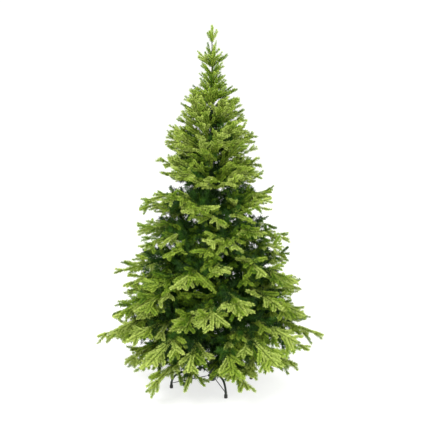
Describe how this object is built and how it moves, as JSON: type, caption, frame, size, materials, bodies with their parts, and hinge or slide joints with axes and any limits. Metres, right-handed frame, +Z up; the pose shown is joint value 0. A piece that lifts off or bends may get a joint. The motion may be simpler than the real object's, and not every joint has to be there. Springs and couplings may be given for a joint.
{
  "type": "artificial christmas tree",
  "caption": "Tall conical artificial fir tree: a steel pole with tiers of hinged branches of green needles, on a folding metal stand with curved legs.",
  "frame": {"origin": "on the floor, on the pole's axis", "axes": "+Z up along the pole, -Y the side that the picture shows, +X the picture's right"},
  "size_m": [1.3932, 1.2376, 2.2],
  "materials": {
    "needles": "satin plastic needles, bright yellow-green outside and dark green inside",
    "pole_paint": "dark green powder coat",
    "stand_paint": "satin green-black powder coat",
    "rubber": "matt"
  },
  "bodies": {
    "root": {"leader": "needles", "pole": "pole_paint", "stand_brace_1": "stand_paint", "stand_brace_2": "stand_paint", "stand_brace_3": "stand_paint", "stand_brace_4": "stand_paint", "stand_foot_1": "rubber", "stand_foot_2": "rubber", "stand_foot_3": "rubber", "stand_foot_4": "rubber", "stand_leg_1": "stand_paint", "stand_leg_2": "stand_paint", "stand_leg_3": "stand_paint", "stand_leg_4": "stand_paint", "stand_socket": "stand_paint", "tier_1_branch_1": "needles", "tier_1_branch_2": "needles", "tier_1_branch_3": "needles", "tier_1_branch_4": "needles", "tier_1_branch_5": "needles", "tier_1_branch_6": "needles", "tier_2_branch_1": "needles", "tier_2_branch_2": "needles", "tier_2_branch_3": "needles", "tier_2_branch_4": "needles", "tier_2_branch_5": "needles", "tier_2_branch_6": "needles", "tier_3_branch_1": "needles", "tier_3_branch_2": "needles", "tier_3_branch_3": "needles", "tier_3_branch_4": "needles", "tier_3_branch_5": "needles", "tier_3_branch_6": "needles", "tier_4_branch_1": "needles", "tier_4_branch_2": "needles", "tier_4_branch_3": "needles", "tier_4_branch_4": "needles", "tier_4_branch_5": "needles", "tier_5_branch_1": "needles", "tier_5_branch_2": "needles", "tier_5_branch_3": "needles", "tier_5_branch_4": "needles", "tier_5_branch_5": "needles", "tier_6_branch_1": "needles", "tier_6_branch_2": "needles", "tier_6_branch_3": "needles", "tier_6_branch_4": "needles", "tier_6_branch_5": "needles", "tier_7_branch_1": "needles", "tier_7_branch_2": "needles", "tier_7_branch_3": "needles", "tier_7_branch_4": "needles", "tier_8_branch_1": "needles", "tier_8_branch_2": "needles", "tier_8_branch_3": "needles", "tier_8_branch_4": "needles", "tier_9_branch_1": "needles", "tier_9_branch_2": "needles", "tier_9_branch_3": "needles", "tier_9_branch_4": "needles"}
  },
  "joints": []
}
